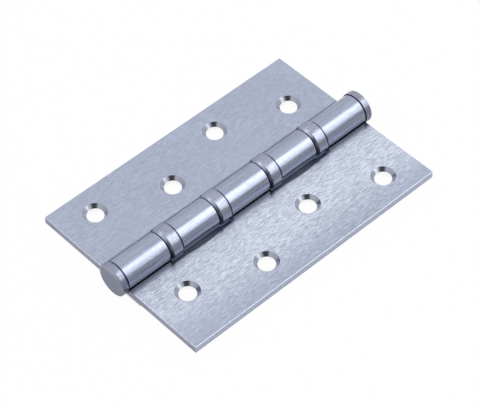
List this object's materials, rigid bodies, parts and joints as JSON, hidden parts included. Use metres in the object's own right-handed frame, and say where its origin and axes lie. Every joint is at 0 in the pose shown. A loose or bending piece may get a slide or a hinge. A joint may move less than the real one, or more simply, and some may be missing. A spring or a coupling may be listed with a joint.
{
  "type": "ball bearing butt hinge",
  "caption": "Butt hinge with drilled leaves, rolled knuckles on a loose pin, ball thrust bearings between the knuckles, and flat end caps.",
  "frame": {"origin": "on the pin's axis, halfway along the barrel", "axes": "+Y along the pin, +X towards the outer edge of the three knuckle leaf, +Z out of the countersunk faces with the hinge open flat"},
  "size_m": [0.07, 0.1048, 0.0116],
  "materials": {
    "leaf_steel": "satin brushed along the pin",
    "cap_steel": "satin turned",
    "ring_steel": "satin turned",
    "pin_steel": "drawn bar",
    "race_steel": "ground and greased",
    "ball_steel": "polished"
  },
  "bodies": {
    "fixed_leaf": {"three_knuckle_leaf": "leaf_steel", "hinge_pin": "pin_steel", "near_cap": "cap_steel", "far_cap": "cap_steel", "bearing_1_ring": "ring_steel", "bearing_2_ring": "ring_steel", "bearing_3_ring": "ring_steel", "bearing_4_ring": "ring_steel", "bearing_1_near_race": "race_steel", "bearing_2_far_race": "race_steel", "bearing_3_near_race": "race_steel", "bearing_4_far_race": "race_steel"},
    "turning_leaf": {"two_knuckle_leaf": "leaf_steel", "bearing_1_far_race": "race_steel", "bearing_2_near_race": "race_steel", "bearing_3_far_race": "race_steel", "bearing_4_near_race": "race_steel"},
    "ball_set_1": {"bearing_1_balls": "ball_steel"},
    "ball_set_2": {"bearing_2_balls": "ball_steel"},
    "ball_set_3": {"bearing_3_balls": "ball_steel"},
    "ball_set_4": {"bearing_4_balls": "ball_steel"}
  },
  "joints": [
    {"name": "leaf_turn", "type": "hinge", "parent": "fixed_leaf", "child": "turning_leaf", "pos_m": [0, 0, 0], "axis": [0, 1, 0], "range_deg": [-90, 180]},
    {"name": "ball_roll_1", "type": "hinge", "parent": "fixed_leaf", "child": "ball_set_1", "pos_m": [0, 0, 0], "axis": [0, 1, 0], "range_deg": [-45, 90]},
    {"name": "ball_roll_2", "type": "hinge", "parent": "fixed_leaf", "child": "ball_set_2", "pos_m": [0, 0, 0], "axis": [0, 1, 0], "range_deg": [-45, 90]},
    {"name": "ball_roll_3", "type": "hinge", "parent": "fixed_leaf", "child": "ball_set_3", "pos_m": [0, 0, 0], "axis": [0, 1, 0], "range_deg": [-45, 90]},
    {"name": "ball_roll_4", "type": "hinge", "parent": "fixed_leaf", "child": "ball_set_4", "pos_m": [0, 0, 0], "axis": [0, 1, 0], "range_deg": [-45, 90]}
  ],
  "couplings": [
    {"joint": "ball_roll_1", "follows": "leaf_turn", "ratio": 0.5},
    {"joint": "ball_roll_2", "follows": "leaf_turn", "ratio": 0.5},
    {"joint": "ball_roll_3", "follows": "leaf_turn", "ratio": 0.5},
    {"joint": "ball_roll_4", "follows": "leaf_turn", "ratio": 0.5}
  ]
}
